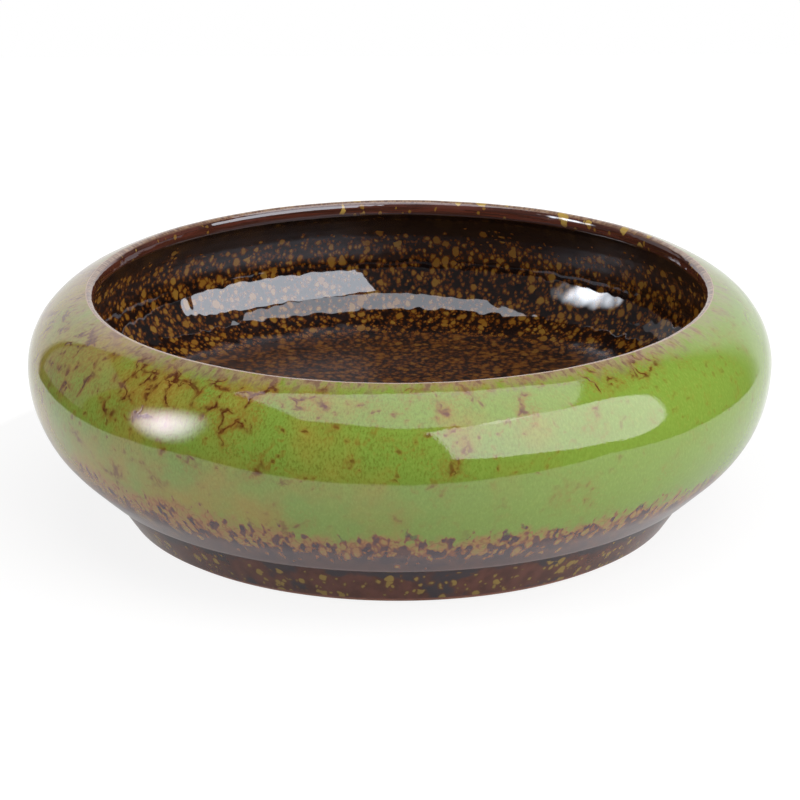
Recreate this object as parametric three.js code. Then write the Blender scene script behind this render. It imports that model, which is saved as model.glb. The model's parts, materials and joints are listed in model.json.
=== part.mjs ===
// Low round planter bowl in glazed stoneware: a bellied bowl on a ring foot, whose shoulder rolls in to a round
// lip. Millimetres, +Z up. The origin is the centre of the standing ring, on the table.
// The bowl is one meridian turned about Z. Its fired coats lie on the clay, with a thin bond between them.
import * as THREE from "three";

// Bowl, outside
const BELLY_R = 110; // outside radius at the widest line
const LOWER_ROUND = 35.4; // radius of the round below the widest line
const LOWER_TURN = 47; // degrees which that round turns on its way down
const UNDERSIDE = 9.2; // straight slope from that round down to the next
const CREASE_ROUND = 7; // radius of the round that rolls under to the crease above the foot
const CREASE_TURN = 77.5; // degrees that the wall has turned by where the foot meets it
const SHOULDER_RUN = 25.3; // half axes of the oval that the shoulder follows: inwards
const SHOULDER_RISE = 23.1; // and upwards
const SHOULDER_TURN = 71.8; // degrees of that oval used before the lip

// Bowl, wall and inside
const WALL = 3.8; // clay of the belly, shoulder and lip
const GLAZE = 0.6; // each fired coat, from the clay to its surface
const BOND = 0.05; // part of that depth taken up by the bond between clay and coat
const LIP_ROUND = 2; // top of the lip, round to its upright face
const COVE_RUN = 24; // how far the inside cove reaches in from the widest line to the flat floor
const BASE = 6.4; // clay of the floor
const BASE_RECESS = 4; // hollow turned into the underside, inside the foot

// Foot
const FOOT_H = 12.5; // table to crease
const FOOT_TAPER = 8.3; // how much the foot narrows towards the table
const FOOT_WIDTH = 8.2; // clay of the foot where it stands
const FOOT_DRAFT = 7; // degrees of the foot's inside wall
const FOOT_EDGE = 0.6; // bevel on both edges of the standing ring
const BARE_EDGE = 0.6; // clay left bare between that bevel and the foot's coat

// Facets around the axis, and steps along each curve of the meridian
const FACETS = 56;
const STEPS = { edge: 3, round: 4, shoulder: 6, lip: 3, cove: 6 };

const QUARTER = Math.PI / 2;
const turn = THREE.MathUtils.degToRad(LOWER_TURN);
const creaseTurn = THREE.MathUtils.degToRad(CREASE_TURN);
const wallWithCoats = WALL + 2 * GLAZE;

// Heights in the bowl are measured from the crease.
const creaseZ = CREASE_ROUND * Math.sin(creaseTurn);
const bellyZ = creaseZ + (LOWER_ROUND - CREASE_ROUND) * Math.sin(turn) + UNDERSIDE * Math.cos(turn);
const roundR = BELLY_R - LOWER_ROUND;
const creaseR = roundR + (LOWER_ROUND - CREASE_ROUND) * Math.cos(turn) - UNDERSIDE * Math.sin(turn);
const floorR = BELLY_R - wallWithCoats - COVE_RUN;
const floorZ = BASE_RECESS + BASE + GLAZE;

const footTopR = creaseR + CREASE_ROUND * Math.cos(creaseTurn);
const footR = footTopR - FOOT_TAPER;
const footInnerR = footR - FOOT_WIDTH;
const footDraft = Math.tan(THREE.MathUtils.degToRad(FOOT_DRAFT));
const footInnerTopR = footInnerR - FOOT_H * footDraft;

const point = (r, z) => new THREE.Vector2(r, z);
const line = (from, to) => new THREE.LineCurve(from, to);
const oval = (centre, run, rise, from, to) =>
  new THREE.EllipseCurve(centre.x, centre.y, run, rise, from, to, to < from);
const arc = (centre, radius, from, to) => oval(centre, radius, radius, from, to);

// A run of the meridian as points on it, each with the direction that faces out of the solid.
// Runs go up the outside, over the lip and down the inside, so out is always on the right hand.
function trace(curve, steps = 1) {
  return Array.from({ length: steps + 1 }, (_, i) => {
    const way = curve.getTangent(i / steps);
    return { at: curve.getPoint(i / steps), out: point(way.y, -way.x) };
  });
}

const sunk = ({ at, out }, depth) => at.clone().addScaledVector(out, -depth);
const lastOf = (run) => run[run.length - 1];
const chain = (...runs) => runs.flatMap((run, i) => (i ? run.slice(1) : run));

// Outside of the bowl: up from the crease, round the belly and over the shoulder
const crease = trace(arc(point(creaseR, creaseZ), CREASE_ROUND, -creaseTurn, -turn), STEPS.edge);
const round = trace(arc(point(roundR, bellyZ), LOWER_ROUND, -turn, 0), STEPS.round);
const underside = trace(line(lastOf(crease).at, round[0].at));
const shoulder = trace(
  oval(
    point(BELLY_R - SHOULDER_RUN, bellyZ),
    SHOULDER_RUN,
    SHOULDER_RISE,
    0,
    THREE.MathUtils.degToRad(SHOULDER_TURN),
  ),
  STEPS.shoulder,
);

// Lip: the wall's end, round on top, with an upright face that rounds under to the inside of the wall
const wallEnd = lastOf(shoulder);
const lean = wallEnd.out.angle();
const lipTop = sunk(wallEnd, LIP_ROUND);
const wallInside = sunk(wallEnd, wallWithCoats);
const lipUnderRound = (wallInside.x - lipTop.x + LIP_ROUND) / (1 - wallEnd.out.x);
const lipLow = sunk(wallEnd, wallWithCoats - lipUnderRound);
const lipCrest = trace(arc(lipTop, LIP_ROUND, lean, QUARTER));
const lipInner = trace(arc(lipTop, LIP_ROUND, QUARTER, 2 * QUARTER), STEPS.lip);
const lipUnder = trace(arc(lipLow, lipUnderRound, 2 * QUARTER, lean + 2 * QUARTER), STEPS.lip);
const lipFace = trace(line(lastOf(lipInner).at, lipUnder[0].at));

// Inside of the bowl: back along the shoulder at the wall's thickness, then the cove and the flat floor
const innerShoulder = shoulder
  .map((sample) => ({ at: sunk(sample, wallWithCoats), out: sample.out.clone().negate() }))
  .reverse();
const cove = trace(
  oval(point(floorR, bellyZ), COVE_RUN, bellyZ - floorZ, 0, -QUARTER),
  STEPS.cove,
);
const floor = trace(line(point(floorR, floorZ), point(0, floorZ)));

const outside = chain(crease, underside, round, shoulder, lipCrest);
const inside = chain([lastOf(outside)], lipInner, lipFace, lipUnder, innerShoulder, cove, floor);

const skinOf = (run) => run.map((sample) => sample.at);
const backOf = (run) => run.map((sample) => sunk(sample, GLAZE - BOND));
const clayOf = (run) => run.map((sample) => sunk(sample, GLAZE));
const closed = (outline) => [...outline, outline[0]];

function turned(name, outline, material) {
  const geometry = new THREE.LatheGeometry(outline, FACETS).rotateX(QUARTER);
  const mesh = new THREE.Mesh(geometry, material);
  mesh.name = name;
  return mesh;
}

const fired = (color, roughness) => new THREE.MeshStandardMaterial({ color, roughness, metalness: 0 });
const bareClay = fired(0xa3633f, 0.85);
const greenGlaze = fired(0x7d9a2a, 0.12);
const footGlaze = fired(0x4a2413, 0.15);
const speckledGlaze = fired(0x3a1d0c, 0.1);

// Bowl body: the fired clay shell, hollowed underneath within the ring where the foot joins
function bowlBody() {
  const hollow = [
    point(0, BASE_RECESS),
    point(footInnerTopR - BASE_RECESS, BASE_RECESS),
    point(footInnerTopR, 0),
    point(footTopR, 0),
  ];
  const shell = [...clayOf(outside), ...clayOf(inside).slice(1)];
  return turned("bowl_body", [...hollow, ...shell], bareClay);
}

// Outer glaze: the green coat from the top of the foot, round the crease and up to the crest of the lip
function outerGlaze() {
  const outline = [...skinOf(outside), ...backOf(outside).reverse()];
  return turned("outer_glaze", closed(outline), greenGlaze);
}

// Inner glaze: the speckled brown coat from the crest of the lip down over the whole inside
function innerGlaze() {
  const outline = [...backOf(inside).reverse(), ...skinOf(inside)];
  return turned("inner_glaze", outline, speckledGlaze);
}

// The foot's outer wall slopes evenly from its standing edge to its top, and the coat lies on that slope.
const footSlope = (footTopR - footR) / FOOT_H;
const footSkinR = (z) => footR + z * footSlope;
const footBackR = (z) => footSkinR(z) - (GLAZE - BOND) * Math.hypot(1, footSlope);
const footClayR = (z) => footSkinR(z) - GLAZE * Math.hypot(1, footSlope);

// Foot ring: clay ring stuck to the underside of the bowl, bevelled where it stands
function footRing() {
  const outline = [
    point(footInnerR + FOOT_EDGE, 0),
    point(footClayR(0) - FOOT_EDGE, 0),
    point(footClayR(FOOT_EDGE), FOOT_EDGE),
    point(footClayR(FOOT_H), FOOT_H),
    point(footInnerTopR, FOOT_H),
    point(footInnerR - FOOT_EDGE * footDraft, FOOT_EDGE),
  ];
  return turned("foot_ring", closed(outline), bareClay);
}

// Foot glaze: the brown coat on the foot's outer wall, wiped off above the standing edge
function footCoat() {
  const low = FOOT_EDGE + BARE_EDGE;
  const outline = [
    point(footSkinR(low), low),
    point(footTopR, FOOT_H),
    point(footBackR(FOOT_H), FOOT_H),
    point(footBackR(low), low),
  ];
  return turned("foot_glaze", closed(outline), footGlaze);
}

const bowl = new THREE.Group();
bowl.add(bowlBody(), outerGlaze(), innerGlaze());
bowl.position.z = FOOT_H;

const foot = new THREE.Group();
foot.add(footRing(), footCoat());

const planter = new THREE.Group();
planter.add(bowl, foot);

export default planter;
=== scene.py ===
import json
import math

import bmesh
import bpy
from mathutils import Matrix, Quaternion, Vector, noise


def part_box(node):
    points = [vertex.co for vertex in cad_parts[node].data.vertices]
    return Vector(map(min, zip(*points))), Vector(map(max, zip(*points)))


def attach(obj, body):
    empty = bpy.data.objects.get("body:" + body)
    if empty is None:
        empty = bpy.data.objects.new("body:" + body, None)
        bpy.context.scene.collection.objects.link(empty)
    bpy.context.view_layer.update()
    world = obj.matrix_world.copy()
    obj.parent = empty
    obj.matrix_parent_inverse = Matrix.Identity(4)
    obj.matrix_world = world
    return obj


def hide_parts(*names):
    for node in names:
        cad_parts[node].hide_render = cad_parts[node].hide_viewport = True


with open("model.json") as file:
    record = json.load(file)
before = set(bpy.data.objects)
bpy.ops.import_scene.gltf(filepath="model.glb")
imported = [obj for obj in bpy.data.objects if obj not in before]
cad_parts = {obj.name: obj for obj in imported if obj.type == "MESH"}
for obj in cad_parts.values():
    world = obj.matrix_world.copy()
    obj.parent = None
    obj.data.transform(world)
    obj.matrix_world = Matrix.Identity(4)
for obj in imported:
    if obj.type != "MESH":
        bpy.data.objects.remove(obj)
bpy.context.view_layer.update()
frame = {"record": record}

# Bowl body: the shell of the planter, thrown in stoneware with a flat floor and a wall that rolls in to a
# round lip. Glaze covers nearly all of it. The bare clay shows underneath, in the shallow hollow turned
# inside the foot.
COAT = 0.0006  # a fired glaze, from the clay to its surface
WALL = 0.005  # clay and both glazes, at the belly and the lip
LOWER_ROUND = 0.0354  # radius of the round below the widest line
LOWER_TURN = math.radians(47)
UNDERSIDE = 0.0092  # straight slope from that round down to the next
CREASE_ROUND = 0.007  # radius of the round that rolls under to the crease above the foot
CREASE_TURN = math.radians(77.5)
SHOULDER_RUN = 0.0253  # half axes of the oval that the shoulder follows
SHOULDER_RISE = 0.0231
SHOULDER_TURN = math.radians(71.8)
LIP_ROUND = 0.002  # top of the lip, round to its upright face
COVE_RUN = 0.024  # from the inside's widest line in to the flat floor
BASE_HOLLOW = 0.004  # depth of the hollow underneath
FOOT_TAPER = 0.0083
FOOT_WIDTH = 0.0082
FOOT_DRAFT = math.tan(math.radians(7))
MERIDIAN_STEP = 0.0012  # spacing of the mesh up and down the wall
FACET_TURN = math.radians(6)  # and the most that it turns from one facet to the next
FLOOR_STEP = 0.004
TURN_STEPS = 288  # facets round the axis
SEAM = 1e-6  # points closer than this are one point
SWELLS = ((0.026, 0.00016), (0.008, 0.00005))  # size and depth of the waves that hands leave in a wall
SWELL_FADE = 0.008  # they die out over this distance from the crease and the floor
SHARP_ANGLE = math.radians(42)  # edges that turn further than this stay sharp
QUARTER = math.pi / 2

belly_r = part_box("outer_glaze")[1].x
crease_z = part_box("outer_glaze")[0].z
foot_top_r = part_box("foot_glaze")[1].x
foot_r = foot_top_r - FOOT_TAPER
foot_inner_r = foot_r - FOOT_WIDTH
foot_inner_top_r = foot_inner_r - crease_z * FOOT_DRAFT
inside_floor = next(mount for mount in frame["record"]["mounts"] if mount["name"] == "inside_floor")
floor_z = inside_floor["pos_m"][2]


def point(r, z):
    return Vector((r, 0.0, z))


def polar(radius, turn):
    return point(radius * math.cos(turn), radius * math.sin(turn))


floor_r = belly_r - WALL - COVE_RUN
crease_centre = point(foot_top_r, crease_z) - polar(CREASE_ROUND, -CREASE_TURN)
down_slope = polar(1, -LOWER_TURN - QUARTER)
round_centre = crease_centre - polar(LOWER_ROUND - CREASE_ROUND, -LOWER_TURN) - down_slope * UNDERSIDE
belly_z = round_centre.z
shoulder_centre = point(belly_r - SHOULDER_RUN, belly_z)
cove_centre = point(floor_r, belly_z)
wall_end = shoulder_centre + point(
    SHOULDER_RUN * math.cos(SHOULDER_TURN), SHOULDER_RISE * math.sin(SHOULDER_TURN)
)
lip_lean = math.atan2(math.sin(SHOULDER_TURN) / SHOULDER_RISE, math.cos(SHOULDER_TURN) / SHOULDER_RUN)
lip_out = polar(1, lip_lean)
lip_top = wall_end - lip_out * LIP_ROUND
wall_inside = wall_end - lip_out * WALL
lip_under_round = (wall_inside.x - lip_top.x + LIP_ROUND) / (1 - lip_out.x)
lip_low = wall_inside + lip_out * lip_under_round


def draw_line(bm, pen, place):
    tip = bmesh.ops.extrude_vert_indiv(bm, verts=[pen])["verts"][0]
    tip.co = place
    return tip


def draw_oval(bm, pen, centre, run, rise, start, end):
    """A stretch of an oval, spun as a circle and then squeezed to its rise."""
    known = set(bm.verts)
    first = draw_line(bm, pen, centre + polar(run, start))
    turn = abs(end - start)
    steps = max(2, round(turn * run / MERIDIAN_STEP), round(turn / FACET_TURN))
    turned = bmesh.ops.spin(
        bm, geom=[first], cent=centre, axis=(0, -1, 0), angle=end - start, steps=steps
    )
    drawn = [vert for vert in bm.verts if vert not in known]
    bmesh.ops.scale(
        bm, vec=(1, 1, rise / run), space=Matrix.Translation(-centre), verts=drawn
    )
    return next(part for part in turned["geom_last"] if isinstance(part, bmesh.types.BMVert))


def draw_arc(bm, pen, centre, radius, start, end):
    return draw_oval(bm, pen, centre, radius, radius, start, end)


def outside_line(bm, depth):
    crease_radius = CREASE_ROUND - depth
    start = bm.verts.new(crease_centre + polar(crease_radius, -CREASE_TURN))
    pen = draw_arc(bm, start, crease_centre, crease_radius, -CREASE_TURN, -LOWER_TURN)
    pen = draw_arc(bm, pen, round_centre, LOWER_ROUND - depth, -LOWER_TURN, 0)
    pen = draw_oval(
        bm, pen, shoulder_centre, SHOULDER_RUN - depth, SHOULDER_RISE - depth, 0, SHOULDER_TURN
    )
    end = draw_arc(bm, pen, lip_top, LIP_ROUND - depth, lip_lean, QUARTER)
    return start, end


def inside_line(bm, depth):
    lip_radius = LIP_ROUND - depth
    under_radius = lip_under_round - depth
    inner_run = SHOULDER_RUN - WALL + depth
    inner_rise = SHOULDER_RISE - WALL + depth
    start = bm.verts.new(lip_top + point(0, lip_radius))
    pen = draw_arc(bm, start, lip_top, lip_radius, QUARTER, 2 * QUARTER)
    pen = draw_arc(bm, pen, lip_low, under_radius, 2 * QUARTER, 2 * QUARTER + lip_lean)
    pen = draw_oval(bm, pen, shoulder_centre, inner_run, inner_rise, SHOULDER_TURN, 0)
    pen = draw_oval(bm, pen, cove_centre, COVE_RUN + depth, belly_z - floor_z + depth, 0, -QUARTER)
    end = draw_line(bm, pen, point(0, floor_z - depth))
    return start, end


def turn_on_wheel(bm):
    """The drawn outline, cut into even steps and spun round the axis."""
    bmesh.ops.remove_doubles(bm, verts=bm.verts, dist=SEAM)
    for edge in list(bm.edges):
        nearest = min(vert.co.x for vert in edge.verts)
        spacing = FLOOR_STEP if nearest < SEAM else MERIDIAN_STEP
        cuts = int(edge.calc_length() / spacing)
        if cuts:
            bmesh.ops.subdivide_edges(bm, edges=[edge], cuts=cuts)
    bmesh.ops.spin(
        bm,
        geom=bm.verts[:] + bm.edges[:],
        cent=(0, 0, 0),
        axis=(0, 0, 1),
        angle=math.tau,
        steps=TURN_STEPS,
        use_merge=True,
    )
    bmesh.ops.remove_doubles(bm, verts=bm.verts, dist=SEAM)
    bmesh.ops.recalc_face_normals(bm, faces=bm.faces)


def swell(bm):
    """Shallow waves in and out of the wall, none on the floor and the foot."""
    for vert in bm.verts:
        r = math.hypot(vert.co.x, vert.co.y)
        if r < floor_r or vert.co.z < crease_z:
            continue
        out = (point(r, vert.co.z) - shoulder_centre).normalized()
        fade = min(1, (vert.co.z - crease_z) / SWELL_FADE) * min(1, (r - floor_r) / SWELL_FADE)
        push = fade * sum(depth * noise.noise(vert.co / size) for size, depth in SWELLS)
        vert.co += push * Vector((out.x * vert.co.x / r, out.x * vert.co.y / r, out.z))


def finish_mesh(bm, name, material):
    mesh = bpy.data.meshes.new(name)
    bm.to_mesh(mesh)
    bm.free()
    mesh.shade_smooth()
    mesh.set_sharp_from_angle(angle=SHARP_ANGLE)
    mesh.materials.append(material)
    piece = bpy.data.objects.new(name, mesh)
    bpy.context.scene.collection.objects.link(piece)
    return piece


def tint(red, green, blue):
    def linear(value):
        share = value / 255
        return share / 12.92 if share <= 0.04045 else ((share + 0.055) / 1.055) ** 2.4

    return linear(red), linear(green), linear(blue), 1.0


def feed(tree, socket, value):
    if isinstance(value, bpy.types.NodeSocket):
        tree.links.new(value, socket)
    else:
        socket.default_value = value


def add(tree, kind, inputs, **settings):
    node = tree.nodes.new("ShaderNode" + kind)
    for name, value in settings.items():
        setattr(node, name, value)
    for socket, value in inputs.items():
        feed(tree, node.inputs[socket], value)
    return node


def maths(tree, operation, *values):
    return add(tree, "Math", dict(enumerate(values)), operation=operation).outputs[0]


def raised(tree, value, share, other):
    """A value plus a share of another."""
    return maths(tree, "MULTIPLY_ADD", other, share, value)


def ease(tree, value, low, high):
    """From 0 to 1 as a value goes from low to high, gently at both ends."""
    return add(tree, "MapRange", {0: value, 1: low, 2: high}, interpolation_type="SMOOTHSTEP").outputs[0]


def over(tree, mask, under, upper):
    """One colour laid on another through a mask."""
    return add(tree, "Mix", {0: mask, 6: under, 7: upper}, data_type="RGBA").outputs[2]


def cloud(tree, place, scale, detail=2.0, roughness=0.5):
    inputs = {"Vector": place, "Scale": scale, "Detail": detail, "Roughness": roughness}
    return add(tree, "TexNoise", inputs).outputs["Fac"]


def stretched(tree, place, scale):
    return add(tree, "Mapping", {"Vector": place, "Scale": scale}).outputs["Vector"]


def new_material(name):
    material = bpy.data.materials.new(name)
    material.use_nodes = True
    tree = material.node_tree
    place = add(tree, "TexCoord", {}).outputs["Object"]
    return material, tree, tree.nodes["Principled BSDF"], place


def emboss(tree, shader, height, depth):
    bump = add(tree, "Bump", {"Height": height, "Strength": 1.0, "Distance": depth})
    feed(tree, shader.inputs["Normal"], bump.outputs["Normal"])


CLAY_DARK = tint(150, 98, 74)
CLAY_PALE = tint(176, 122, 94)
CLAY_GRIT = tint(104, 62, 46)
CLAY_ROUGHNESS = 0.68
GRIT_ROUGHNESS = 0.2  # added by the grit
CLAY_RELIEF = 0.0001
GRIT_SCALE = 900.0  # grains to a metre
SHADE_SCALE = 60.0
TURNING_MARKS = (60.0, 60.0, 1400.0)  # fine up the wall, long round it


def bare_clay():
    material, tree, shader, place = new_material("bare_clay")
    grain = cloud(tree, place, GRIT_SCALE, 3.0, 0.7)
    body = cloud(tree, place, SHADE_SCALE, 3.0)
    rings = cloud(tree, stretched(tree, place, TURNING_MARKS), 1.0, 2.0)
    colour = over(tree, ease(tree, body, 0.3, 0.7), CLAY_DARK, CLAY_PALE)
    colour = over(tree, ease(tree, grain, 0.62, 0.72), colour, CLAY_GRIT)
    feed(tree, shader.inputs["Base Color"], colour)
    roughness = maths(tree, "MULTIPLY_ADD", grain, GRIT_ROUGHNESS, CLAY_ROUGHNESS)
    feed(tree, shader.inputs["Roughness"], roughness)
    emboss(tree, shader, raised(tree, grain, 0.6, rings), CLAY_RELIEF)
    return material


clay = bare_clay()
bm = bmesh.new()
outer_start, outer_end = outside_line(bm, COAT)
inner_start, _ = inside_line(bm, COAT)
bm.edges.new((outer_end, inner_start))
pen = draw_line(bm, outer_start, point(foot_top_r, crease_z))
pen = draw_line(bm, pen, point(foot_inner_top_r, crease_z))
pen = draw_line(bm, pen, point(foot_inner_top_r - BASE_HOLLOW, crease_z + BASE_HOLLOW))
draw_line(bm, pen, point(0, crease_z + BASE_HOLLOW))
turn_on_wheel(bm)
swell(bm)
bowl_body = finish_mesh(bm, "clay_bowl", clay)
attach(bowl_body, "root")
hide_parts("bowl_body")

# Foot ring: a ring of the same clay stuck under the bowl, inside the crease. It stands on its bevelled lower
# edge, which is wiped clean of glaze before firing, so a thin line of clay shows above the table.
FOOT_EDGE = 0.0006  # bevel on both edges that it stands on
EDGE_ROUND = FOOT_EDGE / 3
foot_slope = FOOT_TAPER / crease_z


def foot_wall_r(z, depth):
    return foot_r + z * foot_slope - depth * math.hypot(1, foot_slope)


bm = bmesh.new()
start = bm.verts.new(point(foot_inner_r + FOOT_EDGE, 0))
pen = draw_line(bm, start, point(foot_wall_r(0, COAT) - FOOT_EDGE, 0))
pen = draw_line(bm, pen, point(foot_wall_r(FOOT_EDGE, COAT), FOOT_EDGE))
pen = draw_line(bm, pen, point(foot_wall_r(crease_z, COAT), crease_z))
pen = draw_line(bm, pen, point(foot_inner_top_r, crease_z))
pen = draw_line(bm, pen, point(foot_inner_r - FOOT_EDGE * FOOT_DRAFT, FOOT_EDGE))
bm.edges.new((pen, start))
edge_corners = [vert for vert in bm.verts if vert.co.z < crease_z / 2]
bmesh.ops.bevel(
    bm, geom=edge_corners, offset=EDGE_ROUND, affect="VERTICES", segments=3, profile=0.5, material=-1
)
turn_on_wheel(bm)
foot_ring = finish_mesh(bm, "clay_foot", clay)
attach(foot_ring, "root")
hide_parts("foot_ring")

# Outer glaze: the green coat poured over the outside, from the top of the foot round the crease to the
# crest of the lip. It runs thick on the belly, cracks open in rusty veins on the shoulder, and breaks to
# brown with gold dapples low down.
OUTER_IOR = 1.6
OUTER_TINT = (0.98, 0.86, 1.0, 1)  # colour of what it mirrors
OUTER_ROUGHNESS = 0.03
GRAIN_ROUGHNESS = 0.03  # added by the grain of the pour
OUTER_RELIEF = 0.000012
BOND = 0.00005  # the coat's share that is fused with the clay
MILLIMETRES = 1000.0
BOW_R = 31.0  # mean radius of the wall's bow, in millimetres
BOW_SHIFT = 0.004  # its centre lies this far in from the shoulder's
RUST_PATCHES = (  # degrees round from the front, degrees up the bow, and reach in millimetres
    (-60, 30, 20),
    (-42, 36, 16),
    (-26, 33, 16),
    (-14, 44, 10),
    (34, 54, 14),
    (44, 57, 10),
    (150, 35, 18),
)
LEFT_PART = (-0.15, -0.75)  # sines of the turns from the front where the left part begins and is full
GRAIN_PART = (0.75, -0.25)  # the same for the dark grain, which is fainter to the right
CALM_PART = (0.1, 0.65)  # for the right part, where knots are fainter
LIP_SIDES = (0.7, 0.95)  # and for the lip's two sides, right and left alike
GRAIN_ZONE = (-15.0, 10.0)  # degrees up the bow where the dark grain begins to gain, and where it is full
KNOT_ZONE = (-12.0, 6.0)  # the same for the knots
RUST_ZONE = (-10.0, 55.0)  # for the rust
STREAK_ZONE = (46.0, 60.0)  # for the streaks
PALE_ZONE = (50.0, 64.0)  # for the pale veil below the lip
EDGE_ZONE = (61.8, 62.5)  # and for the lip's pale edge
SIDE_DROP = 6.0  # degrees lower that the streaks and the veil begin at the lip's two sides
DRAPE_SHIFT = 9.0  # millimetres by which noise shifts every edge low on the coat
BLOB_SHIFT = 14.0  # and the green's edge once more
LEFT_SHIFT = 5.0  # how much higher the green's edge lies on the left
GOLD_LEVEL = 17.0  # millimetres above the table before those shifts, as in the levels below
ISLAND_LEVEL = 24.5
DROP_LEVELS = (7.0, 16.0)
BROWN_LEVELS = (13.0, 8.0)
SQUIGGLE_LEVELS = (36.0, 30.0)
GREEN_LEVELS = (27.0, 33.0)
WHOLE_LEVELS = (31.0, 34.0)
VEIN_BENDS = ((0.16, 8.0), (0.7, 1.8))  # patterns to a millimetre, and how far they push the veins
CLOUD_SCALE = 0.05  # patterns to a millimetre, here and below
GRAIN_SCALE = (1.6, 1.6, 0.9)
RUST_SCALE = 0.07
RIDGE_SCALE = 0.08
NET_SCALE = 0.075
GATE_SCALE = 0.2
WIDTH_SCALE = 0.45
SPECK_SCALE = 1.1
KNOT_SCALE = 0.4
STREAK_SCALE = (0.34, 0.34, 0.16)
DRAPE_SCALE = 0.05
BLOB_SCALE = (0.3, 0.3, 0.22)
FINGER_SCALE = (0.32, 0.32, 0.15)
ISLAND_SCALE = (0.46, 0.46, 0.26)
BROWN_SCALE = 0.25
DAPPLE_SCALE = 0.5
SQUIGGLE_SCALE = 0.3
PEEL_SCALE = 1.3
DROP_STRETCH = (1, 1, 0.5)
DROP_SIZES = (3.2, 0.4, 1.5)  # cell, least and largest radius in millimetres
DROP_HALO = 0.5
SPOT_WANDER = 0.6  # how far a spot's edge is shaken, as a share of its cell
SPOT_SHAKE = 1.4  # and how often, in a cell
SPOT_RARITY = 1.5  # the higher, the fewer of the largest
SPOT_SOFTNESS = 0.7  # a spot's edge is blurred over this share of its halo's reach
GRASS = tint(112, 138, 51)
OLIVE = tint(142, 125, 48)
GRAIN_DARK = tint(94, 92, 26)
GRAIN_PALE = tint(136, 154, 66)
RUST_HAZE = tint(130, 94, 33)
RUST_GLOW = tint(128, 74, 26)
RUST_VEIN = tint(70, 29, 10)
LIP_PALE = tint(154, 126, 102)
LIP_PURPLE = tint(108, 80, 68)
LIP_EDGE = tint(166, 138, 122)
DAPPLE_GOLD = tint(138, 116, 56)
DAPPLE_ORANGE = tint(144, 106, 56)
DAPPLE_RUST = tint(126, 76, 44)
BREAK_PURPLE = tint(58, 43, 47)
BREAK_BROWN = tint(84, 57, 50)


def times(tree, *values):
    product = values[0]
    for value in values[1:]:
        product = maths(tree, "MULTIPLY", product, value)
    return product


def most(tree, *values):
    largest = values[0]
    for value in values[1:]:
        largest = maths(tree, "MAXIMUM", largest, value)
    return largest


def new_group(name, inputs, outputs):
    group = bpy.data.node_groups.new(name, "ShaderNodeTree")
    for title, kind in inputs.items():
        group.interface.new_socket(title, in_out="INPUT", socket_type="NodeSocket" + kind)
    for title, kind in outputs.items():
        group.interface.new_socket(title, in_out="OUTPUT", socket_type="NodeSocket" + kind)
    taken = group.nodes.new("NodeGroupInput").outputs
    given = group.nodes.new("NodeGroupOutput").inputs
    return group, taken, given


def use_group(tree, group, inputs):
    node = tree.nodes.new("ShaderNodeGroup")
    node.node_tree = group
    for socket, value in inputs.items():
        feed(tree, node.inputs[socket], value)
    return node.outputs


def vector(tree, operation, *values, scale=1.0):
    inputs = dict(enumerate(values))
    if operation == "SCALE":
        inputs["Scale"] = scale
    return add(tree, "VectorMath", inputs, operation=operation).outputs["Vector"]


def length(tree, place):
    return add(tree, "VectorMath", {0: place}, operation="LENGTH").outputs["Value"]


def shaken(tree, place, scale, reach):
    """A place pushed about by noise, so that what is drawn there gets an uneven edge."""
    shake = add(tree, "TexNoise", {"Vector": place, "Scale": scale}).outputs["Color"]
    push = vector(tree, "SUBTRACT", shake, (0.5, 0.5, 0.5))
    return vector(tree, "ADD", place, vector(tree, "SCALE", push, scale=reach))


def unrolled_wall():
    """The wall laid out flat in millimetres: round the girth, and up the bow of the wall."""
    group, taken, given = new_group(
        "unrolled_wall",
        {"Place": "Vector"},
        {"Flat": "Vector", "Bow": "Float", "Height": "Float", "Side": "Float"},
    )
    parts = add(group, "SeparateXYZ", {0: taken["Place"]}).outputs
    level = add(group, "CombineXYZ", {0: parts["X"], 1: parts["Y"]}).outputs[0]
    way = vector(group, "NORMALIZE", level)
    run = maths(group, "SUBTRACT", length(group, level), shoulder_centre.x - BOW_SHIFT)
    climb = maths(group, "SUBTRACT", parts["Z"], belly_z)
    bow = maths(group, "ARCTAN2", climb, run)
    girth = vector(group, "SCALE", way, scale=belly_r * MILLIMETRES)
    up = add(group, "CombineXYZ", {2: maths(group, "MULTIPLY", bow, BOW_R)}).outputs[0]
    feed(group, given["Flat"], vector(group, "ADD", girth, up))
    feed(group, given["Bow"], maths(group, "DEGREES", bow))
    feed(group, given["Height"], maths(group, "MULTIPLY", parts["Z"], MILLIMETRES))
    feed(group, given["Side"], add(group, "SeparateXYZ", {0: way}).outputs["X"])
    return group


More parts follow.
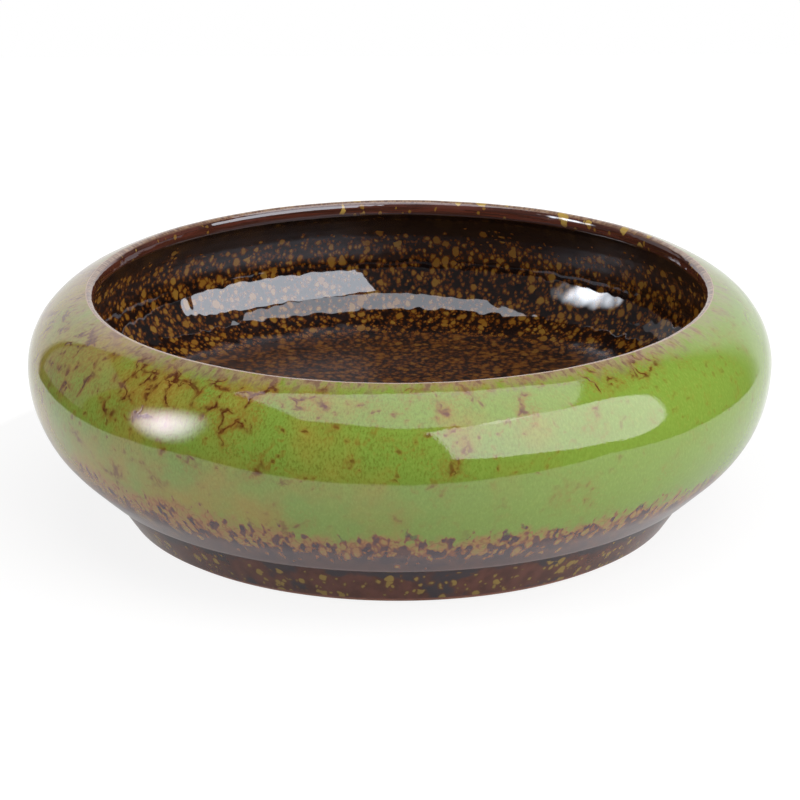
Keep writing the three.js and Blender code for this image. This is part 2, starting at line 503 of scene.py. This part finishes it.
def glaze_spots():
    """Uneven spots of many sizes scattered in cells, each with a soft halo."""
    group, taken, given = new_group(
        "glaze_spots",
        {
            "Place": "Vector",
            "Cell": "Float",
            "Least": "Float",
            "Most": "Float",
            "Share": "Float",
            "Halo": "Float",
        },
        {"Spot": "Float", "Halo": "Float", "Tone": "Float"},
    )
    scale = maths(group, "DIVIDE", 1.0, taken["Cell"])
    reach = maths(group, "MULTIPLY", taken["Cell"], SPOT_WANDER)
    place = shaken(group, taken["Place"], maths(group, "MULTIPLY", scale, SPOT_SHAKE), reach)
    cells = add(group, "TexVoronoi", {"Vector": place, "Scale": scale}, feature="F1").outputs
    luck = add(group, "SeparateColor", {0: cells["Color"]}).outputs
    size = maths(group, "POWER", luck["Red"], SPOT_RARITY)
    spread = maths(group, "SUBTRACT", taken["Most"], taken["Least"])
    radius = maths(group, "MULTIPLY_ADD", size, spread, taken["Least"])
    gap = maths(group, "SUBTRACT", maths(group, "MULTIPLY", cells["Distance"], taken["Cell"]), radius)
    there = maths(group, "LESS_THAN", luck["Green"], taken["Share"])
    soft = maths(group, "MULTIPLY", taken["Halo"], -SPOT_SOFTNESS)
    feed(group, given["Spot"], times(group, ease(group, gap, 0.0, soft), there))
    feed(group, given["Halo"], times(group, ease(group, gap, taken["Halo"], 0.0), there))
    feed(group, given["Tone"], luck["Blue"])
    return group


wall_layout = unrolled_wall()
spots = glaze_spots()


def scatter(tree, place, sizes, share, halo):
    cell, least, largest = sizes
    return use_group(
        tree,
        spots,
        {"Place": place, "Cell": cell, "Least": least, "Most": largest, "Share": share, "Halo": halo},
    )


def rust_patch(tree, flat, turn, up, reach):
    turn = math.radians(turn)
    girth = belly_r * MILLIMETRES
    centre = (girth * math.sin(turn), -girth * math.cos(turn), BOW_R * math.radians(up))
    return ease(tree, length(tree, vector(tree, "SUBTRACT", flat, centre)), reach, 0.0)


def green_ground(tree, flat, bow, side, left):
    """Green clouded with olive, with the fine grain of the pour."""
    clouds = raised(tree, cloud(tree, flat, CLOUD_SCALE, 3.0), -0.2, side)
    clouds = raised(tree, clouds, 0.03, left)
    grain = cloud(tree, stretched(tree, flat, GRAIN_SCALE), 1.0, 2.0, 0.6)
    colour = over(tree, ease(tree, clouds, 0.46, 0.84), GRASS, OLIVE)
    coarse = times(tree, ease(tree, bow, *GRAIN_ZONE), ease(tree, side, *GRAIN_PART))
    coarse = maths(tree, "MULTIPLY_ADD", coarse, 0.4, 0.15)
    colour = over(tree, times(tree, ease(tree, grain, 0.48, 0.68), coarse), colour, GRAIN_DARK)
    colour = over(tree, times(tree, ease(tree, grain, 0.48, 0.32), 0.3), colour, GRAIN_PALE)
    return colour, grain


def rusty_veins(tree, colour, flat, bow, side):
    """Veins in patches, of uneven width, broken and blurred, in a haze of rust and fine specks."""
    patches = [rust_patch(tree, flat, *patch) for patch in RUST_PATCHES]
    zone = maths(tree, "MULTIPLY_ADD", cloud(tree, flat, RUST_SCALE, 3.0, 0.6), 0.8, 0.07)
    zone = raised(tree, zone, 0.24, most(tree, *patches))
    zone = raised(tree, zone, 0.08, ease(tree, bow, *RUST_ZONE))
    zone = raised(tree, zone, -0.05, side)
    bent = flat
    for scale, reach in VEIN_BENDS:
        bent = shaken(tree, bent, scale, reach)
    ridge = maths(tree, "ABSOLUTE", maths(tree, "SUBTRACT", cloud(tree, bent, RIDGE_SCALE, 1.0), 0.5))
    net = add(tree, "TexVoronoi", {"Vector": bent, "Scale": NET_SCALE}, feature="DISTANCE_TO_EDGE")
    net = net.outputs["Distance"]
    cracks = maths(tree, "MINIMUM", ridge, maths(tree, "MULTIPLY", net, 0.35))
    gate = ease(tree, cloud(tree, flat, GATE_SCALE, 2.0), 0.4, 0.54)
    thin = ease(tree, cloud(tree, flat, WIDTH_SCALE, 1.0), 0.3, 0.7)
    spread = maths(tree, "MULTIPLY_ADD", thin, 0.024, 0.012)
    vein = times(tree, ease(tree, cracks, spread, 0.002), gate, ease(tree, zone, 0.54, 0.66))
    glow = times(tree, ease(tree, cracks, 0.05, 0.0), gate, ease(tree, zone, 0.52, 0.66))
    haze = times(tree, ease(tree, cracks, 0.1, 0.0), ease(tree, zone, 0.46, 0.68))
    specks = ease(tree, cloud(tree, flat, SPECK_SCALE, 2.0), 0.5, 0.64)
    specks = times(tree, specks, ease(tree, zone, 0.46, 0.7))
    colour = over(tree, times(tree, haze, 0.32), colour, RUST_HAZE)
    colour = over(tree, times(tree, specks, 0.5), colour, RUST_HAZE)
    colour = over(tree, times(tree, glow, 0.5), colour, RUST_GLOW)
    colour = over(tree, times(tree, vein, 0.95), colour, RUST_VEIN)
    return colour, vein, net


def rusty_knots(tree, colour, net, flat, bow, side):
    """Soft knots all over, on the same net of cracks, fainter on the lower belly and to the right."""
    knots = cloud(tree, flat, KNOT_SCALE, 1.0)
    strength = maths(tree, "MULTIPLY_ADD", ease(tree, bow, *KNOT_ZONE), 0.5, 0.25)
    calm = maths(tree, "MULTIPLY_ADD", ease(tree, side, *CALM_PART), -0.6, 1.0)
    strength = times(tree, strength, calm)
    wide = times(tree, ease(tree, net, 0.16, 0.0), ease(tree, knots, 0.5, 0.66), strength)
    core = times(tree, ease(tree, net, 0.06, 0.0), ease(tree, knots, 0.58, 0.7), strength)
    colour = over(tree, times(tree, wide, 0.7), colour, RUST_HAZE)
    return over(tree, times(tree, core, 0.9), colour, RUST_VEIN)


def lip_streaks(tree, colour, flat, bow, side):
    """Purple-brown streaks below the lip, fainter at its two sides, and its pale edge."""
    streaks = cloud(tree, stretched(tree, flat, STREAK_SCALE), 1.0, 3.0, 0.65)
    aside = maths(tree, "ABSOLUTE", side)
    rim = raised(tree, bow, SIDE_DROP, aside)
    fresh = maths(tree, "MULTIPLY_ADD", ease(tree, aside, *LIP_SIDES), -0.55, 1.0)
    near_lip = times(tree, ease(tree, rim, *STREAK_ZONE), ease(tree, streaks, 0.48, 0.66))
    pale = times(tree, ease(tree, rim, *PALE_ZONE), ease(tree, streaks, 0.28, 0.56))
    colour = over(tree, times(tree, pale, fresh, 0.72), colour, LIP_PALE)
    colour = over(tree, times(tree, near_lip, fresh, 0.85), colour, LIP_PURPLE)
    return over(tree, times(tree, ease(tree, bow, *EDGE_ZONE), 0.8), colour, LIP_EDGE)


def broken_brown(tree, colour, flat, height, left):
    """Low down the coat turns gold and breaks in lobes with rusty edges, on purple and then brown."""
    drape = cloud(tree, flat, DRAPE_SCALE, 2.0)
    level = raised(tree, height, -DRAPE_SHIFT, drape)
    blobs = cloud(tree, stretched(tree, flat, BLOB_SCALE), 1.0, 3.0, 0.55)
    thick = raised(tree, raised(tree, level, BLOB_SHIFT, blobs), -LEFT_SHIFT, left)
    fingers = cloud(tree, stretched(tree, flat, FINGER_SCALE), 1.0, 2.0)
    gold = raised(tree, fingers, 0.036, maths(tree, "SUBTRACT", level, GOLD_LEVEL))
    islands = cloud(tree, stretched(tree, flat, ISLAND_SCALE), 1.0, 1.0)
    islands = raised(tree, islands, 0.02, maths(tree, "SUBTRACT", ISLAND_LEVEL, level))
    lobes = times(tree, ease(tree, gold, 0.47, 0.53), ease(tree, islands, 0.6, 0.54))
    rims = times(tree, ease(tree, gold, 0.39, 0.47), ease(tree, islands, 0.67, 0.58))
    sown = times(tree, ease(tree, level, *DROP_LEVELS), 0.8)
    drops = scatter(tree, stretched(tree, flat, DROP_STRETCH), DROP_SIZES, sown, DROP_HALO)
    shades = cloud(tree, flat, BROWN_SCALE, 3.0)
    brown = over(tree, ease(tree, shades, 0.4, 0.6), BREAK_PURPLE, BREAK_BROWN)
    brown = over(tree, ease(tree, level, *BROWN_LEVELS), brown, BREAK_BROWN)
    tones = cloud(tree, flat, DAPPLE_SCALE, 2.0)
    dapple = over(tree, ease(tree, tones, 0.42, 0.6), DAPPLE_GOLD, DAPPLE_ORANGE)
    low = over(tree, times(tree, most(tree, rims, drops["Halo"]), 0.9), brown, DAPPLE_RUST)
    low = over(tree, most(tree, lobes, drops["Spot"]), low, dapple)
    waves = cloud(tree, flat, SQUIGGLE_SCALE, 1.0)
    squiggle = maths(tree, "ABSOLUTE", maths(tree, "SUBTRACT", waves, 0.5))
    squiggle = times(tree, ease(tree, squiggle, 0.05, 0.01), ease(tree, thick, *SQUIGGLE_LEVELS), lobes)
    low = over(tree, times(tree, squiggle, 0.7), low, DAPPLE_RUST)
    whole = most(tree, lobes, ease(tree, thick, *WHOLE_LEVELS))
    return over(tree, times(tree, ease(tree, thick, *GREEN_LEVELS), whole), low, colour)


def green_glaze():
    material, tree, shader, place = new_material("green_glaze")
    wall = use_group(tree, wall_layout, {"Place": place})
    flat = wall["Flat"]
    bow = wall["Bow"]
    side = wall["Side"]
    left = ease(tree, side, *LEFT_PART)
    colour, grain = green_ground(tree, flat, bow, side, left)
    colour, vein, net = rusty_veins(tree, colour, flat, bow, side)
    colour = rusty_knots(tree, colour, net, flat, bow, side)
    colour = lip_streaks(tree, colour, flat, bow, side)
    colour = broken_brown(tree, colour, flat, wall["Height"], left)
    feed(tree, shader.inputs["Base Color"], colour)
    shader.inputs["IOR"].default_value = OUTER_IOR
    shader.inputs["Specular Tint"].default_value = OUTER_TINT
    roughness = maths(tree, "MULTIPLY_ADD", grain, GRAIN_ROUGHNESS, OUTER_ROUGHNESS)
    feed(tree, shader.inputs["Roughness"], roughness)
    relief = raised(tree, cloud(tree, flat, PEEL_SCALE, 2.0), -0.6, vein)
    emboss(tree, shader, relief, OUTER_RELIEF)
    return material


def coat_between(bm, skin_ends, back_ends):
    for skin_end, back_end in zip(skin_ends, back_ends):
        if skin_end.co.x > SEAM:
            bm.edges.new((skin_end, back_end))


bm = bmesh.new()
coat_between(bm, outside_line(bm, 0), outside_line(bm, COAT - BOND))
turn_on_wheel(bm)
swell(bm)
outer_glaze = finish_mesh(bm, "green_outside", green_glaze())
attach(outer_glaze, "root")
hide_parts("outer_glaze")

# Inner glaze: the dark chocolate coat of the inside, from the crest of the lip down the wall and over the
# floor. Gold spots sprayed on before firing have sunk into it. The wheel's rings show through below the lip.
INNER_IOR = 1.92
INNER_TINT = (0.86, 0.91, 1.0, 1)
INNER_ROUGHNESS = 0.04
DULL_ROUGHNESS = 0.22  # added where the coat is dull
INNER_RELIEF = 0.00014  # depth of the ripple in its surface
RIPPLE_SCALE = 0.26
RING_DEPTH = 0.00005
RING_SPACING = 0.0031
SPRAYS = (  # cell, least and largest radius in millimetres, and the share of the cells with a spot in them
    ((3.1, 0.6, 1.5), 0.95),
    ((2.2, 0.38, 0.95), 0.92),
    ((1.5, 0.24, 0.55), 0.9),
)
SPRAY_HALO = 0.42
SPRAY_STRETCH = (MILLIMETRES, MILLIMETRES, 800.0)  # spots run a little longer down the wall
SPRAY_TOP = (50.0, 42.0)  # heights in millimetres, as in the zones below
SPRAY_SHIFT = 14.0  # by which noise shifts the top of the spray
FLOOR_ZONE = (24.0, 27.0)
DULL_FLOOR = (26.5, 24.0)
DULL_WALL_LOW = (44.5, 48.0)
DULL_WALL_HIGH = (62.0, 59.0)
LIP_ZONE = (62.6, 65.6)
CREST_ZONE = (68.6, 69.2)
CREST_COMB = 2.0  # millimetres by which the comb shifts the crest's edge
CREST_PLAIN = 1.5  # how much less it does at the lip's two sides
CREST_REACH = 0.85  # and how much lower the crest begins there
RUN_ZONE = (64.0, 66.0)
RUN_SIDES = (0.98, 0.8)  # sines of the turns where the runs begin, and where they are full
EDGE_SCALE = 0.05  # patterns to a millimetre, here and below
DARK_SCALE = 0.12
CROWD_SCALE = 0.045
LIP_LINES = (0.05, 0.05, 2.0)  # long round the lip
LIP_COMB = (0.7, 0.7, 0.12)  # and across it
SPECK_SIZES = (2.0, 0.25, 0.9)
RUN_SIZES = (4.4, 0.6, 2.1)
RUN_STRETCH = (MILLIMETRES, MILLIMETRES, 650.0)
LIP_HALO = 0.4
DARK = tint(20, 13, 12)
CHOCOLATE = tint(36, 22, 17)
SPOT_HALO = tint(98, 52, 16)
SPOT_GOLD = tint(130, 86, 28)
SPOT_OLIVE = tint(140, 104, 42)
LIP_RED = tint(88, 46, 36)
LIP_DARK = tint(58, 31, 23)
LIP_PINK = tint(150, 122, 98)
LIP_RUN = tint(168, 138, 68)


def sprayed_spots(tree, spray_place, height):
    """Dark chocolate with gold spots of three sizes, from the floor up to an uneven edge on the wall."""
    uneven = cloud(tree, spray_place, EDGE_SCALE, 2.0)
    below = ease(tree, raised(tree, height, -SPRAY_SHIFT, uneven), *SPRAY_TOP)
    shades = cloud(tree, spray_place, DARK_SCALE, 3.0)
    colour = over(tree, ease(tree, shades, 0.3, 0.7), DARK, CHOCOLATE)
    layers = [
        scatter(tree, spray_place, sizes, times(tree, below, share), SPRAY_HALO) for sizes, share in SPRAYS
    ]
    halo = most(tree, *[layer["Halo"] for layer in layers])
    spot = most(tree, *[layer["Spot"] for layer in layers])
    gold = over(tree, layers[0]["Tone"], SPOT_GOLD, SPOT_OLIVE)
    wall_part = maths(tree, "MULTIPLY_ADD", ease(tree, height, *FLOOR_ZONE), 0.6, 0.4)
    colour = over(tree, times(tree, halo, 0.8), colour, SPOT_HALO)
    return over(tree, times(tree, spot, wall_part), colour, gold)


def lip_colours(tree, colour, place, spray_place, flat, height, aside):
    """Reddish brown streaked along the lip, pale and mottled at its crest, with gold runs and specks."""
    lines = cloud(tree, stretched(tree, flat, LIP_LINES), 1.0, 3.0)
    lip_face = over(tree, ease(tree, lines, 0.3, 0.7), LIP_DARK, LIP_RED)
    crowd = ease(tree, cloud(tree, flat, CROWD_SCALE, 2.0), 0.42, 0.62)
    specks = scatter(tree, spray_place, SPECK_SIZES, times(tree, crowd, 0.9), LIP_HALO)
    lip_face = over(tree, times(tree, specks["Spot"], 0.8), lip_face, SPOT_OLIVE)
    colour = over(tree, ease(tree, height, *LIP_ZONE), colour, lip_face)
    combed = cloud(tree, stretched(tree, flat, LIP_COMB), 1.0, 3.0, 0.6)
    crest = over(tree, ease(tree, combed, 0.4, 0.6), LIP_PINK, LIP_PURPLE)
    # at its two sides the pale crest has a plainer edge and reaches further in
    crown = raised(tree, height, maths(tree, "MULTIPLY_ADD", aside, -CREST_PLAIN, CREST_COMB), combed)
    crown = raised(tree, crown, CREST_REACH, aside)
    colour = over(tree, ease(tree, crown, *CREST_ZONE), colour, crest)
    often = maths(tree, "MULTIPLY_ADD", crowd, 0.6, 0.35)
    often = times(tree, often, ease(tree, aside, *RUN_SIDES))
    runs = scatter(tree, stretched(tree, place, RUN_STRETCH), RUN_SIZES, often, LIP_HALO)
    return over(tree, times(tree, runs["Spot"], ease(tree, height, *RUN_ZONE)), colour, LIP_RUN)


def speckled_glaze():
    material, tree, shader, place = new_material("speckled_glaze")
    wall = use_group(tree, wall_layout, {"Place": place})
    height = wall["Height"]
    aside = maths(tree, "ABSOLUTE", wall["Side"])
    spray_place = stretched(tree, place, SPRAY_STRETCH)
    colour = sprayed_spots(tree, spray_place, height)
    colour = lip_colours(tree, colour, place, spray_place, wall["Flat"], height, aside)
    feed(tree, shader.inputs["Base Color"], colour)
    shader.inputs["IOR"].default_value = INNER_IOR
    shader.inputs["Specular Tint"].default_value = INNER_TINT
    upper = times(tree, ease(tree, height, *DULL_WALL_LOW), ease(tree, height, *DULL_WALL_HIGH))
    dull = most(tree, times(tree, ease(tree, height, *DULL_FLOOR), 1.3), upper)
    roughness = maths(tree, "MULTIPLY_ADD", dull, DULL_ROUGHNESS, INNER_ROUGHNESS)
    feed(tree, shader.inputs["Roughness"], roughness)
    emboss(tree, shader, cloud(tree, spray_place, RIPPLE_SCALE, 0.0), INNER_RELIEF)
    return material


bm = bmesh.new()
coat_between(bm, inside_line(bm, 0), inside_line(bm, COAT - BOND))
turn_on_wheel(bm)
swell(bm)
for vert in bm.verts:
    if belly_z < vert.co.z < lip_low.z - lip_under_round:
        ring = math.sin(math.tau * vert.co.z / RING_SPACING) * RING_DEPTH
        spread = 1 + ring / math.hypot(vert.co.x, vert.co.y)
        vert.co.x *= spread
        vert.co.y *= spread
inner_glaze = finish_mesh(bm, "speckled_inside", speckled_glaze())
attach(inner_glaze, "root")
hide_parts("inner_glaze")

# Foot glaze: the brown coat that runs on over the outer wall of the foot, blue-black in patches that crowd
# high up, with a painted shade and a bluish painted sheen just under the crease. Gold drops from the belly
# lie on it in clusters. It stops in a thin roll above the wiped edge.
BARE_EDGE = 0.0006  # clay left bare between the foot's bevel and the glaze
ROLL_ROUND = COAT / 2  # round of the thin roll where the glaze stops
FOOT_IOR = 1.36  # duller than the belly
FOOT_ROUGHNESS = 0.1
FOOT_MOTTLE = 0.1  # added to the roughness by the shades of brown
FOOT_RELIEF = 0.00003
FOOT_STRETCH = (MILLIMETRES, MILLIMETRES, 620.0)
FOOT_DROPS = (3.0, 0.5, 1.5)  # cell, least and largest radius in millimetres
FOOT_SPECKS = (1.9, 0.25, 0.8)
FOOT_DROP_HALO = 0.45
FOOT_SPECK_HALO = 0.35
FOOT_SHADE_SCALE = 0.25  # patterns to a millimetre, here and below
POOL_SCALE = 0.09
CLUSTER_SCALE = 0.06
FOOT_PEEL_SCALE = 0.5
POOL_ZONE = (7.5, 11.5)  # millimetres above the table, as in the zones below
# band just under the crease that gets the painted shade and sheen
CREASE_SHADE_ZONE = (11.0, 12.2)
DROP_ZONE = (12.0, 9.5)
ROLL_ZONE = (2.0, 1.4)
FOOT_BROWN = tint(76, 42, 33)
FOOT_PALE = tint(98, 58, 47)
# blue-black of the pools, also used for the painted shade and sheen under the crease
FOOT_POOL_AND_SHADE = tint(50, 48, 54)
FOOT_RING = tint(92, 56, 36)
FOOT_GOLD = tint(140, 116, 54)
FOOT_ROLL = tint(130, 76, 60)


def foot_brown():
    material, tree, shader, place = new_material("foot_brown")
    height = use_group(tree, wall_layout, {"Place": place})["Height"]
    drop_place = stretched(tree, place, FOOT_STRETCH)
    shades = cloud(tree, drop_place, FOOT_SHADE_SCALE, 3.0)
    colour = over(tree, ease(tree, shades, 0.3, 0.7), FOOT_BROWN, FOOT_PALE)
    pools = cloud(tree, drop_place, POOL_SCALE, 3.0)
    pools = raised(tree, pools, 0.16, ease(tree, height, *POOL_ZONE))
    colour = over(tree, times(tree, ease(tree, pools, 0.54, 0.66), 0.85), colour, FOOT_POOL_AND_SHADE)
    # a painted shade with a bluish painted sheen, in a band just under the crease where the belly overhangs
    # the foot
    colour = over(tree, times(tree, ease(tree, height, *CREASE_SHADE_ZONE), 0.3), colour, FOOT_POOL_AND_SHADE)
    crowd = ease(tree, cloud(tree, drop_place, CLUSTER_SCALE, 2.0), 0.28, 0.46)
    crowd = times(tree, crowd, ease(tree, height, *DROP_ZONE))
    drops = scatter(tree, drop_place, FOOT_DROPS, times(tree, crowd, 0.9), FOOT_DROP_HALO)
    specks = scatter(tree, drop_place, FOOT_SPECKS, times(tree, crowd, 0.7), FOOT_SPECK_HALO)
    colour = over(tree, times(tree, most(tree, drops["Halo"], specks["Halo"]), 0.75), colour, FOOT_RING)
    colour = over(tree, times(tree, most(tree, drops["Spot"], specks["Spot"]), 0.95), colour, FOOT_GOLD)
    colour = over(tree, ease(tree, height, *ROLL_ZONE), colour, FOOT_ROLL)
    feed(tree, shader.inputs["Base Color"], colour)
    shader.inputs["IOR"].default_value = FOOT_IOR
    roughness = maths(tree, "MULTIPLY_ADD", shades, FOOT_MOTTLE, FOOT_ROUGHNESS)
    feed(tree, shader.inputs["Roughness"], roughness)
    emboss(tree, shader, cloud(tree, drop_place, FOOT_PEEL_SCALE, 2.0), FOOT_RELIEF)
    return material


bm = bmesh.new()
low_z = FOOT_EDGE + BARE_EDGE
start = bm.verts.new(point(foot_wall_r(low_z, 0), low_z))
pen = draw_line(bm, start, point(foot_wall_r(crease_z, 0), crease_z))
pen = draw_line(bm, pen, point(foot_wall_r(crease_z, COAT - BOND), crease_z))
pen = draw_line(bm, pen, point(foot_wall_r(low_z, COAT - BOND), low_z))
bm.edges.new((pen, start))
bmesh.ops.bevel(
    bm, geom=[start], offset=ROLL_ROUND, affect="VERTICES", segments=4, profile=0.5, material=-1
)
turn_on_wheel(bm)
foot_glaze = finish_mesh(bm, "brown_foot", foot_brown())
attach(foot_glaze, "root")
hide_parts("foot_glaze")

# Table: a sheet of white card under the bowl. It ends a little in front of it, so that the glaze mirrors
# white card low on the belly and the dark room above that. Far from the bowl the camera sees plain white.
TABLE_X = (-0.30, 0.34)
TABLE_Y = (-0.225, 0.60)
TABLE_GAP = 0.00005  # so that its face and the foot's aren't the same plane
CARD_WHITE = (0.8, 0.8, 0.8, 1)
CARD_SEEN = (0.15, 0.15, 0.15, 1)  # the share of its white that takes shadow, for the camera
CARD_GLOW = 0.85  # and the share that doesn't
CARD_DIM = (0.35, 0.35, 0.35, 1)  # the same two for the glaze that mirrors it
CARD_MIRRORED = 0.75
MIRRORED_IN_PAINTED_SHADE = 0.45  # how much of that is left close to the bowl, a painted shade for the bowl's shadow on the card
SHADOW_REACH = (0.1, 0.16)  # metres from the bowl's axis over which the shadow fades out
# metres from the bowl's axis over which that painted shade fades out
PAINTED_SHADE_REACH = (0.09, 0.17)
CARD_ROUGHNESS = 0.9
CARD_SHEEN = 0.1


def ray_masks(tree):
    """Where the camera looks straight at a thing, and where it sees it mirrored in the glaze."""
    path = add(tree, "LightPath", {}).outputs
    return path["Is Camera Ray"], maths(tree, "ADD", path["Is Glossy Ray"], path["Is Transmission Ray"])


bm = bmesh.new()
bmesh.ops.create_grid(bm, x_segments=2, y_segments=2, size=0.5)
bmesh.ops.scale(bm, vec=(TABLE_X[1] - TABLE_X[0], TABLE_Y[1] - TABLE_Y[0], 1), verts=bm.verts)
bmesh.ops.translate(bm, vec=(sum(TABLE_X) / 2, sum(TABLE_Y) / 2, -TABLE_GAP), verts=bm.verts)
card, tree, shader, place = new_material("white_card")
seen, mirrored = ray_masks(tree)
white = over(tree, mirrored, CARD_WHITE, CARD_DIM)
feed(tree, shader.inputs["Base Color"], over(tree, seen, white, CARD_SEEN))
shader.inputs["Roughness"].default_value = CARD_ROUGHNESS
shader.inputs["Specular IOR Level"].default_value = CARD_SHEEN
shader.inputs["Emission Color"].default_value = (1, 1, 1, 1)
from_bowl = length(tree, place)
whiteness = most(tree, ease(tree, from_bowl, *SHADOW_REACH), CARD_GLOW)
# near the bowl the card glows less where the glaze mirrors it: a painted shade for the bowl's shadow
far = ease(tree, from_bowl, *PAINTED_SHADE_REACH)
mirrored = times(tree, mirrored, maths(tree, "MULTIPLY_ADD", far, 1 - MIRRORED_IN_PAINTED_SHADE, MIRRORED_IN_PAINTED_SHADE))
glow = raised(tree, times(tree, seen, whiteness), CARD_MIRRORED, mirrored)
feed(tree, shader.inputs["Emission Strength"], glow)
table = finish_mesh(bm, "table", card)

# Room: white behind the bowl where a backdrop hangs, and dark elsewhere, as the glaze mirrors it.
# The camera sees white all round.
BACKDROP_SIDE = 0.77  # cosine of half its width, seen from the bowl
BACKDROP_FADE = 0.2  # its right side fades out
BACKDROP_EDGE = 0.03  # softness of its sides
BACKDROP_TOP = 0.6  # sine of its height
BACKDROP_BLUR = 0.15  # softness of its top
ROOM_LIGHT = 0.08
world = bpy.data.worlds.new("studio")
bpy.context.scene.world = world
world.use_nodes = True
tree = world.node_tree
background = tree.nodes["Background"]
way = add(tree, "SeparateXYZ", {0: add(tree, "TexCoord", {}).outputs["Generated"]}).outputs
level = length(tree, add(tree, "CombineXYZ", {0: way["X"], 1: way["Y"]}).outputs[0])
facing = maths(tree, "DIVIDE", way["Y"], level)
edge = raised(tree, BACKDROP_SIDE, -BACKDROP_FADE, most(tree, way["X"], 0.0))
backdrop = times(
    tree,
    ease(tree, facing, edge, BACKDROP_SIDE + BACKDROP_EDGE),
    ease(tree, way["Z"], BACKDROP_TOP + BACKDROP_BLUR, BACKDROP_TOP - BACKDROP_BLUR),
)
seen, mirrored = ray_masks(tree)
strength = maths(tree, "ADD", times(tree, mirrored, backdrop), ROOM_LIGHT)
feed(tree, background.inputs["Strength"], most(tree, strength, seen))
background.inputs["Color"].default_value = (1, 1, 1, 1)

# Lamps: a large soft box to the front right with rounded corners at its far end, a dimmer one overhead whose
# front corners are cut off, and a hot lamp to the left that fades out towards its edge, with a dim screen
# behind it.
SIDE_WIDTH = 0.89
SIDE_HEIGHT = 0.614
SIDE_ROUND = 0.2  # radius of the corners at its far end
ROUND_BLUR = 0.97  # share of that radius where the light starts to fade
SLANT = math.sqrt(0.5)  # the overhead box's front corners are cut along its diagonals
CUT_FADE = (0.5, 0.49)  # how far out, in shares of its sides, its light ends and starts to fade
LAMP_FADE = (0.5, 0.0)  # the same for the lamp to the left, which fades from its middle


def soft_box(name, shape, radiance, width, height, place, turns):
    lamp = bpy.data.lights.new(name, "AREA")
    lamp.shape = shape
    lamp.size = width
    lamp.size_y = height
    area = width * height * (1 if shape == "RECTANGLE" else math.pi / 4)
    lamp.energy = math.pi * radiance * area
    holder = bpy.data.objects.new(name, lamp)
    holder.location = place
    # its turns are degrees round from the front, degrees up, and its roll
    around, above, roll = (math.radians(turn) for turn in turns)
    facing = Matrix.Rotation(around, 3, "Z") @ Matrix.Rotation(QUARTER - above, 3, "X")
    holder.rotation_euler = (facing @ Matrix.Rotation(roll, 3, "Z")).to_euler()
    bpy.context.scene.collection.objects.link(holder)
    lamp.use_nodes = True
    tree = lamp.node_tree
    across = vector(tree, "SUBTRACT", add(tree, "NewGeometry", {}).outputs["Parametric"], (0.5, 0.5, 0))
    return tree, across, tree.nodes["Emission"].inputs["Strength"]


tree, across, strength = soft_box(
    "side_box",
    "RECTANGLE",
    radiance=3.9,
    width=SIDE_WIDTH,
    height=SIDE_HEIGHT,
    place=(0.433, -0.407, 0.415),
    turns=(57.5, 23.2, -11.1),
)
sides = add(tree, "SeparateXYZ", {0: across}).outputs
past_end = maths(tree, "MULTIPLY_ADD", sides["X"], SIDE_WIDTH, SIDE_ROUND - SIDE_WIDTH / 2)
high = maths(tree, "ABSOLUTE", sides["Y"])
past_side = maths(tree, "MULTIPLY_ADD", high, SIDE_HEIGHT, SIDE_ROUND - SIDE_HEIGHT / 2)
past = {0: most(tree, past_end, 0.0), 1: most(tree, past_side, 0.0)}
past_corner = length(tree, add(tree, "CombineXYZ", past).outputs[0])
feed(tree, strength, ease(tree, past_corner, SIDE_ROUND, SIDE_ROUND * ROUND_BLUR))

tree, across, strength = soft_box(
    "top_box",
    "RECTANGLE",
    radiance=2.1,
    width=1.2,
    height=1.05,
    place=(0.082, -0.124, 1.109),
    turns=(21.9, 72, -8.2),
)
sides = add(tree, "SeparateXYZ", {0: across}).outputs
wide = maths(tree, "ABSOLUTE", sides["X"])
corner = times(tree, maths(tree, "SUBTRACT", wide, sides["Y"]), SLANT)
feed(tree, strength, ease(tree, corner, *CUT_FADE))

tree, across, strength = soft_box(
    "left_lamp",
    "ELLIPSE",
    radiance=14,
    width=0.56,
    height=1.0,
    place=(-1.052, -0.322, 0.41),
    turns=(-73, 18, 0),
)
feed(tree, strength, ease(tree, length(tree, across), *LAMP_FADE))

soft_box(
    "left_screen",
    "RECTANGLE",
    radiance=0.32,
    width=0.7,
    height=0.9,
    place=(-1.1, 0.62, 0.42),
    turns=(-120, 12, 0),
)

# Camera: at the photograph's place, straight in front and a little above the lip, with a long lens. It leans
# a fraction of a degree, as the photograph does.
CAMERA_AIM = Vector((0, 0, 0.0319))
CAMERA_DISTANCE = 0.9428
CAMERA_ABOVE = math.radians(19.0187)
CAMERA_ROLL = math.radians(-0.2151)
CAMERA_SENSOR = 36  # millimetres
CAMERA_LENS = 141.96
lens = bpy.data.cameras.new("camera")
lens.sensor_width = CAMERA_SENSOR
lens.lens = CAMERA_LENS
camera = bpy.data.objects.new("camera", lens)
away = Vector((0, -math.cos(CAMERA_ABOVE), math.sin(CAMERA_ABOVE)))
camera.location = CAMERA_AIM + away * CAMERA_DISTANCE
camera.rotation_mode = "QUATERNION"
camera.rotation_quaternion = (-away).to_track_quat("-Z", "Y") @ Quaternion((0, 0, 1), CAMERA_ROLL)
bpy.context.scene.collection.objects.link(camera)
bpy.context.scene.camera = camera
bpy.context.scene.view_settings.view_transform = "Standard"
